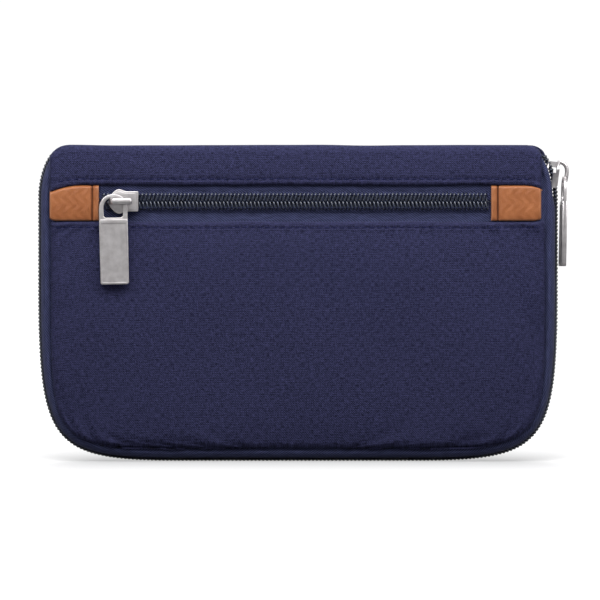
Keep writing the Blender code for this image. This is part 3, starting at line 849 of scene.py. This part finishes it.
def make_gusset(cover, side):
    """Zip tape from under a cover's edge, rolling outward to the coil."""
    section = [(8.6, 10.0), (7.4, 9.9), (6.5, 9.3), (5.6, 8.6), (4.9, 9.2), (4.1, 9.75), (3.1, 9.5), (2.2, 8.6),
               (1.6, 7.4), (1.35, 6.2), (1.5, 5.1), (2.0, 4.2), (2.35, 3.2), (2.35, 0.3)]
    section = resample(section, 0.8)
    s = np.linspace(0.0, LINE.length, 420)
    place, out = LINE.at(s)
    inset, depth = section[:, 0], section[:, 1]
    puff = np.exp(-((depth - 9.6) / 1.6) ** 2) * np.where(inset < 5.0, 1.0, 0.0)
    at_slider = smooth((place[:, 0] - 90.0) / 8.0) * smooth((place[:, 1] - 101.0) / 7.0)
    y = side * (depth + wander(s, side * 2.0, 55.0, 0.16)[:, None] * puff)
    pinch = np.maximum(2.5 - inset, 0.0) * at_slider[:, None]
    spot = place[:, None, :] - out[:, None, :] * (inset + pinch)[..., None]
    points = xyz(spot[..., 0], y, spot[..., 1])
    faces = grid_faces(len(s), len(section), flip=side > 0)
    weave = np.stack(np.meshgrid(arc_lengths(section), s), axis=-1)[..., ::-1]
    made = make_object(cover + "_gusset_tape", points, faces, TWILL, weave)
    thicken(made, 0.4)
    finish_piece(made, cover + "_cover", "navy_tape", cover + "_gusset")


# ---------- leather tabs
def make_tab(name, node, inner_side):
    """Leather tab: soft edges, a rounded upper outer corner and a sewn crease near its inner end."""
    low, high = local_box(node)
    x0, x1, z0, z1 = low[0], min(high[0], TAB_END), low[2] - 0.1, high[2] + 1.6
    u, v = np.meshgrid(np.linspace(0, 1, 72), np.linspace(0, 1, 50))
    outer, inner = (x0, x1) if inner_side > 0 else (x1, x0)
    x = x0 + (x1 - x0) * u
    radius = 3.6
    inset = np.clip(radius - np.abs(x - outer), 0, radius)
    rounding = (1 - 2 * v) * (radius - np.sqrt(radius**2 - inset**2))
    z = z0 + (z1 - z0) * v + np.where(v > 0.5, 1.0, 0.35) * rounding
    edge_x = np.minimum(np.abs(x - x0), np.abs(x - x1))
    edge = np.minimum(edge_x, np.minimum(v, 1 - v) * (z1 - z0))
    crease = np.abs(np.abs(x - inner) - 2.75)
    sewn = np.exp(-(crease / 0.28) ** 2)
    puff = 0.55 * (1 - np.exp(-(crease / 1.1) ** 2)) * (1 - (2 * v - 1) ** 4)
    tuck = 1.9 * smooth((z - UPPER_LIP + lip_dip(x) + 1.3) / 1.8)
    height = 1.45 + puff - turned_edge(edge, 0.8) - 0.85 * sewn + 0.05 * np.sin(x * 1.7 + 2 * np.sin(z * 0.9))
    height = np.maximum(height - tuck, 0.1)
    y = COIL_FRONT + COIL_DEPTH + 0.1 - height
    made = make_object(name, xyz(x, y, z), grid_faces(*x.shape), LEATHER)
    # paler band along the edges, partly pulled-thin leather and partly a painted highlight
    for key, values in (("edge_wear_and_highlight", 0.75 * np.exp(-(edge / 0.55) ** 2) * (1 - sewn)),
                        # painted shade along the sewn crease
                        ("fold", 0.95 * np.exp(-(crease / 0.30) ** 2))):
        attribute = made.data.attributes.new(key, "FLOAT", "POINT")
        attribute.data.foreach_set("value", values.ravel().astype(np.float32))
    thicken(made, 0.8)
    finish_piece(made, "front_cover", "tan_leather", node)


# ---------- sliders and pulls
def basis(x_axis, z_axis, place):
    """Matrix from a slider's or pull's own millimetres to the design's."""
    x_axis, z_axis = Vector(x_axis), Vector(z_axis)
    turn = Matrix((x_axis, z_axis.cross(x_axis), z_axis)).transposed().to_4x4()
    return Matrix.Translation(Vector(place)) @ turn


def moved(matrix, points):
    points = np.asarray(points, float).reshape(-1, 3)
    rotation = np.array(matrix.to_3x3())
    return points @ rotation.T + np.array(matrix.translation)


def slab(name, outlines, bottom, top, bevel, matrix):
    """A flat nickel piece from closed outlines, rounded along its edges, as a mesh in design millimetres."""
    data = bpy.data.curves.new(name, "CURVE")
    data.dimensions = "2D"
    data.fill_mode = "BOTH"
    for outline in outlines:
        spline = data.splines.new("POLY")
        spline.points.add(len(outline) - 1)
        for target, point in zip(spline.points, outline):
            target.co = (point[0], point[1], 0, 1)
        spline.use_cyclic_u = True
    data.extrude = (top - bottom) / 2 - bevel
    data.bevel_depth = bevel
    data.bevel_resolution = 3
    data.offset = -bevel
    curve = add_object(name, data)
    bpy.context.view_layer.update()
    mesh = bpy.data.meshes.new_from_object(curve.evaluated_get(bpy.context.evaluated_depsgraph_get()))
    bpy.data.objects.remove(curve, do_unlink=True)
    cage = bmesh.new()
    cage.from_mesh(mesh)
    bmesh.ops.remove_doubles(cage, verts=cage.verts, dist=0.001)
    bmesh.ops.translate(cage, verts=cage.verts, vec=(0, 0, (top + bottom) / 2))
    bmesh.ops.recalc_face_normals(cage, faces=cage.faces)
    cage.to_mesh(mesh)
    cage.free()
    mesh.transform(Matrix.Translation(Vector(SHIFT)) @ Matrix.Scale(MM, 4) @ matrix)
    mesh.materials.clear()
    mesh.materials.append(NICKEL)
    mesh.shade_smooth()
    mesh.set_sharp_from_angle(angle=math.radians(38))
    return add_object(name, mesh)


def bridge_bar(name, line, matrix):
    """A slider's bridge: a bar of rounded rectangular section that follows a line in the local XZ plane."""
    width, thickness, sides = 2.6, 1.6, 16
    tangent = unit(np.gradient(line, axis=0))
    lift = xyz(-tangent[:, 2], 0.0, tangent[:, 0])
    angle = (np.arange(sides) * 2 * math.pi / sides)[:, None]
    ring = (np.array((0.0, 1.0, 0.0)) * blunt(np.cos(angle), 0.55) * width / 2
            + lift[:, None, :] * blunt(np.sin(angle), 0.7) * thickness / 2)
    taper = np.ones(len(line))
    taper[-2:] = 0.9, 0.55
    points = line[:, None, :] + ring * taper[:, None, None]
    faces = grid_faces(len(line), sides, wrap=True) + end_caps(len(line), sides)
    made = face_outward(make_object(name, moved(matrix, points), faces, NICKEL))
    made.data.set_sharp_from_angle(angle=math.radians(50))
    return made


def mirrored(half, signs):
    """A closed outline from one half, which ends on the middle line."""
    return np.concatenate((half, (half * np.array(signs))[::-1][1:]))


def slider_outline():
    """Plate outline: square tail, swelling shoulders, rounded pointed nose."""
    tail = cubic((-5.5, 4.05), (-5.95, 4.05), (-5.95, 3.6), 0.55, 4)[::-1]
    waist = cubic((-1.6, 4.05), (-0.3, 4.1), (0.5, 4.6), 0.6, 6)
    apex = cubic((0.5, 4.6), (1.7, 5.3), (2.9, 4.55), 0.6, 8)[1:]
    nose = cubic((2.9, 4.55), (5.9, 2.6), (5.9, 0.0), 0.62, 12)[1:]
    upper = np.concatenate((tail, waist, apex, nose))
    return mirrored(upper, (1.0, -1.0))


def make_slider(name, node, matrix, body, bend):
    """Cast slider: domed plate, flanges down both sides, keel behind the tape, web and bridge.

    bend is how far along the plate the bridge turns from its foot to its bar.
    """
    outline = slider_outline()
    web = [(2.6, -0.28), (4.9, -0.28), (4.9, 0.28), (2.6, 0.28)]
    parts = [
        slab(name, [outline], 0.30, 1.15, 0.22, matrix),
        slab(name, [outline * 0.84 + np.array([0.25, 0.0])], 1.05, 1.38, 0.14, matrix),
        slab(name, [outline * 0.94], -3.70, -3.05, 0.18, matrix),
        slab(name, [web], -3.3, 0.5, 0.05, matrix),
    ]
    flange = [(-5.6, 3.45), (-1.2, 3.45), (0.6, 3.95), (0.4, 4.5), (-1.3, 4.05), (-5.6, 4.05)]
    for side in (-1, 1):
        parts.append(slab(name, [(flange * np.array([1.0, side]))[::side]], -1.15, 0.6, 0.14, matrix))
    foot = cubic((5.0, 0.9), (4.9, 4.5), (5.0 - bend, 4.55), 0.66, 14)
    bar = [(-0.6, 4.52), (-1.9, 4.42), (-2.8, 4.25), (-3.4, 4.06)]
    line = np.concatenate((foot, bar))
    parts.append(bridge_bar(name, resample(xyz(line[:, 0], 0.0, line[:, 1]), 0.4), matrix))
    finish_piece(join_pieces(name, parts), body, "satin_nickel", node)


def arched_outline(half, top, bottom, rise, fullness, steps, radius):
    """Closed outline with an arched top of this rise and small round corners at the bottom."""
    arch = cubic((half, top - rise), (half, top), (0.0, top), fullness, steps)
    corner = cubic((half - radius, bottom), (half, bottom), (half, bottom + radius), 0.55, 5)
    return mirrored(np.concatenate((corner, arch)), (-1.0, 1.0))


def knurl(name, matrix, level, facing):
    """Fine cross-hatched field, as real relief, sunk between the pull's rims."""
    step, pitch = 0.17, 0.62
    x, y = np.meshgrid(np.arange(-4.85, 4.86, step), np.arange(-32.3, -8.9, step))
    ridge = np.abs(np.sin((x + y) * math.pi / pitch)) + np.abs(np.sin((x - y) * math.pi / pitch))
    points = xyz(x, y, facing * (level + 0.055 * ridge))
    return make_object(name, moved(matrix, points), grid_faces(*x.shape, flip=facing < 0), NICKEL)


def make_pull(name, node, matrix, body):
    """Flat pull: open eye, plain band, and a long tongue with a hatched field between raised rims."""
    outline = arched_outline(5.7, 2.9, -33.2, 6.4, 0.60, 14, 0.9)
    eye = arched_outline(3.85, 1.5, -6.5, 4.2, 0.58, 12, 1.2)[::-1]
    tongue = np.concatenate((outline[:6], [(5.7, -8.0), (5.3, -7.2), (-5.3, -7.2), (-5.7, -8.0)], outline[-5:]))
    window = [(-4.9, -32.35), (-4.9, -8.85), (4.9, -8.85), (4.9, -32.35)]
    parts = [slab(name, [outline, eye], -0.6, 0.6, 0.24, matrix)]
    for facing in (1, -1):
        low, high = sorted((facing * 0.45, facing * 1.0))
        parts.append(slab(name, [tongue, window], low, high, 0.16, matrix))
        parts.append(knurl(name, matrix, 0.62, facing))
    finish_piece(join_pieces(name, parts), body, "satin_nickel", node)


def make_hardware():
    pocket_low, pocket_high = local_box("pocket_slider")
    centre = (pocket_low[0] + pocket_high[0]) / 2
    matrix = basis((-1, 0, 0), (0, -1, 0), (centre, COIL_FRONT, CHAIN_Z))
    make_slider("pocket_zip_slider", "pocket_slider", matrix, "pocket_slider", 2.1)
    post = (np.array(joint_named("pocket_pull_swing")["pos_m"]) - SHIFT) / MM
    tilt = Matrix.Rotation(math.radians(1.2), 4, "Z")
    make_pull("pocket_zip_pull", "pocket_pull", basis((1, 0, 0), (0, -1, 0), post) @ tilt, "pocket_pull")

    side_low, side_high = local_box("side_slider")
    middle = (side_low[2] + side_high[2]) / 2
    lean = Matrix.Rotation(math.radians(-7.0), 4, "Y")
    matrix = basis((0, 0, 1), (1, 0, 0), (ZIP_HALF - 1.1, 0, middle)) @ lean
    make_slider("side_zip_slider", "side_slider", matrix, "side_slider", 4.1)
    hook = (np.array(joint_named("side_pull_lift")["pos_m"]) - SHIFT) / MM
    turn = Matrix.Rotation(math.radians(1.2), 4, "X") @ Matrix.Rotation(math.radians(4.0), 4, "Y")
    hang = Matrix.Translation((0, -1.9, 0))
    make_pull("side_zip_pull", "side_pull", basis((0, 1, 0), (1, 0, 0), hook) @ turn @ hang, "side_pull")


# ---------- inside
def make_lining(cover, side):
    """Lining of one cover: down the fold, across the cover, rolling out at the edge to meet the tape."""
    bottom, half = COVER_BOTTOM + 0.6, COVER_HALF - 0.6
    fold_z, spine_z = 121.5, 123.65
    columns = 101
    x, z = panel_points(half, bottom, row_heights(bottom, fold_z, 46), columns)
    flat = 6.1 if side < 0 else 7.35
    edge = edge_distance(x, z, half, bottom)
    y = flat + (8.4 - flat) * smooth(1 - edge / 2.4) + 0.10 * wander(x + 2 * z, 3.0, 40.0, 1.0)
    turn = np.linspace(0, 1, 7)[1:]
    run = np.linspace(flat - 1.2, 0.0, 6)[1:]
    y_top = np.concatenate((flat - 1.2 * turn**2, run))
    z_top = np.concatenate((fold_z + (spine_z - fold_z) * np.sin(turn * math.pi / 2), np.full(5, spine_z)))
    top = xyz(x[-1] * 0.965, side * y_top[:, None], z_top[:, None])
    points = np.concatenate((xyz(x, side * y, z), top))
    made = make_object(cover + "_lining_cloth", points, grid_faces(len(points), columns, flip=side < 0), LINING)
    thicken(made, 0.3)
    finish_piece(made, None, "lining", *([cover + "_lining"] + (["spine_lining"] if side > 0 else [])))
    fold = world(0, side * flat, 119.0)
    world(0, side * 3.0, spine_z)
    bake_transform(made)


def make_pocket_sheet(node, body, facing, bulge):
    """An open-topped inside pocket: a sheet that bows out in the middle, with a bound and sewn top edge."""
    low, high = local_box(node)
    seam, corner = 3.4, 5.0
    u, v = np.meshgrid(np.linspace(0, 1, 61), np.linspace(0, 1, 34))
    x = low[0] + (high[0] - low[0]) * u
    z = low[2] + (high[2] - low[2]) * v
    shrink = np.clip(corner - (z - low[2]), 0, corner)
    x = x + (1 - 2 * u) * (corner - np.sqrt(np.clip(corner**2 - shrink**2, 0, None)))
    top_gap = (1 - v) * (high[2] - low[2])
    out = bulge * (np.sin(u * math.pi).clip(0) ** 0.7) * (np.sin(v * math.pi * 0.62) ** 0.8)
    out += 0.25 * smooth((4.2 - top_gap) / 0.8) - groove(top_gap, seam, 0.3, 0.12)
    y = (low[1] if facing > 0 else high[1]) + facing * (0.2 + out)
    points = xyz(x, y, z - 0.9 * np.sin(u * math.pi) ** 2 * v**3)
    name = node + "_cloth"
    made = make_object(name, points, grid_faces(*x.shape, flip=facing > 0), SLOT_CLOTH)
    thicken(made, 0.25)
    finish_piece(made, body, "lining", node)
    row = int(np.abs(top_gap[:, 0] - seam).argmin())
    stitch_row(name + "_stitches", points[row][1:-1], body, facing, 1.9, 2.6)


def make_inside():
    for cover, side in (("front", -1.0), ("back", 1.0)):
        make_lining(cover, side)
    for column in ("left", "right"):
        for tier in (1, 2, 3):
            make_pocket_sheet(f"card_slot_{column}_{tier}", "front_cover", 1.0, 0.12 * tier)
    for node, bulge in (("ticket_pocket", 0.25), ("passport_pocket", 0.5)):
        make_pocket_sheet(node, "back_cover", -1.0, bulge)
    make_pen_loop()


def make_pen_loop():
    """Ribbed elastic loop under the spine."""
    low, high = local_box("pen_loop")
    sides, half_wall = 48, 0.3
    centre = (high[2] + low[2]) / 2
    angle = np.arange(sides) * 2 * math.pi / sides
    y = blunt(np.cos(angle), 0.75) * ((high[1] - low[1]) / 2 - half_wall)
    z = blunt(np.sin(angle), 0.75) * ((high[2] - low[2]) / 2 - half_wall)
    x = np.linspace(low[0], high[0], 53)[:, None]
    ribs = 1 + 0.012 * np.sin(x * 2 * math.pi / ELASTIC_RIB)
    faces = grid_faces(len(x), sides, wrap=True)
    made = make_object("pen_loop_elastic", xyz(x, y * ribs, centre + z * ribs), faces, ELASTIC)
    thicken(made, 0.55, 0)
    face_outward(made)
    finish_piece(made, "spine", "elastic", "pen_loop")


def finish_boards():
    """The hidden boards and the pocket's back keep their CAD shape and get their own materials."""
    for node, material in (("front_board", BOARD), ("back_board", BOARD), ("spine_stiffener", BOARD),
                           ("pocket_backing", LINING)):
        materials = frame["nodes"][node].data.materials
        materials.clear()
        materials.append(material)


# ---------- studio
def make_camera():
    """Long lens, square on to the front, a little above the middle of the organizer's height."""
    data = bpy.data.cameras.new("camera")
    distance, view_width = 3.0, 0.240
    data.sensor_width = 36.0
    data.lens = data.sensor_width * distance / view_width
    data.clip_end = 20.0
    camera = add_object("camera", data)
    camera.location = world(0.8, FRONT_FACE, 64.6) + Vector((0, -distance, 0))
    camera.rotation_euler = (math.pi / 2, 0, 0)
    bpy.context.scene.camera = camera


def area_light(name, place, target, size, power):
    data = bpy.data.lights.new(name, "AREA")
    data.shape = "RECTANGLE"
    data.size, data.size_y = size
    data.energy = power
    light = add_object(name, data)
    light.location = place
    light.rotation_euler = (Vector(target) - Vector(place)).to_track_quat("-Z", "Y").to_euler()


def make_floor():
    """White paper that glows for the camera only. The glow is dimmer close to the organizer, a painted contact
    shadow, and fades to white around it.
    """
    bpy.ops.mesh.primitive_plane_add(size=24.0, location=(0, 0, 0))
    floor = bpy.context.active_object
    floor.name = "studio_floor"
    paper = Shader("studio_paper")
    x, y, z = paper.object_axes()
    beside, before = (paper.math("MAXIMUM", paper.math("SUBTRACT", paper.math("ABSOLUTE", axis), clear), 0.0)
                      for axis, clear in ((x, 77.0), (y, 12.0)))
    away = paper.out(paper.node("ShaderNodeVectorMath", paper.vector(beside, before), operation="LENGTH"), "Value")
    fade = paper.math("MINIMUM", away * (1.0 / 420.0), 1.0)
    ends = paper.math("MINIMUM", paper.math("DIVIDE", beside, before * 0.2 + 25.0), 1.0)
    # Painted contact shadow: the camera-only glow is lowest beside the organizer and rises to white farther off.
    painted_glow = fade * 0.64 + FLOOR_GLOW + paper.math("POWER", ends, 2.2) * 0.36
    seen = paper.out(paper.node("ShaderNodeLightPath"), "Is Camera Ray")
    paper.set(Base_Color=(0.22, 0.22, 0.225), Roughness=0.9, Specular_IOR_Level=0.1,
              Emission_Color=(1.0, 1.0, 1.0), Emission_Strength=seen * painted_glow)
    floor.data.materials.append(paper.material)


def make_sky():
    """White surround, with one strength for cloth, one for metal's reflections and one for the camera."""
    sky = Shader("studio", world=True)
    path = sky.node("ShaderNodeLightPath")
    strength = SKY_LIGHT
    for ray, level in (("Is Glossy Ray", METAL_LIGHT), ("Is Camera Ray", 1.05)):
        step = sky.node("ShaderNodeMapRange")
        sky.feed(step, Value=sky.out(path, ray), To_Min=strength, To_Max=level)
        strength = sky.out(step, "Result")
    sky.set(Color=(1.0, 1.0, 1.0), Strength=strength)
    bpy.context.scene.world = sky.material


def make_studio():
    """White floor that fades into a white surround, a broad top light and soft fills."""
    make_floor()
    make_sky()
    aim = (0, 0, 0.06)
    area_light("top", (0.0, -0.19, 0.34), aim, (0.8, 0.20), 2.75)
    area_light("front", (-0.5, -1.4, 0.85), aim, (0.8, 0.6), 1.1)
    area_light("right", (1.1, -0.5, 0.45), aim, (0.4, 0.9), 1.7)
    area_light("left", (-1.1, -0.4, 0.45), aim, (0.4, 0.9), 0.6)
    area_light("rear", (0.0, 0.8, 0.7), (0, 0.1, 0.06), (1.4, 0.8), 3.6)
    bpy.context.scene.view_settings.view_transform = "Standard"


# ---------- build
make_camera()
make_studio()
lower_lip_row = make_pocket_panel()
upper_lip_row = make_front_strip()
make_back_cloth()
stitch_row("upper_lip_stitches", upper_lip_row, "front_cover", -1.0)
stitch_row("lower_lip_stitches", lower_lip_row[3:-3], "front_cover", -1.0)
make_pocket_zip()
make_side_zip()
make_tab("leather_tab_left_piece", "leather_tab_left", 1)
make_tab("leather_tab_right_piece", "leather_tab_right", -1)
make_hardware()
make_inside()
finish_boards()

bpy.context.view_layer.update()
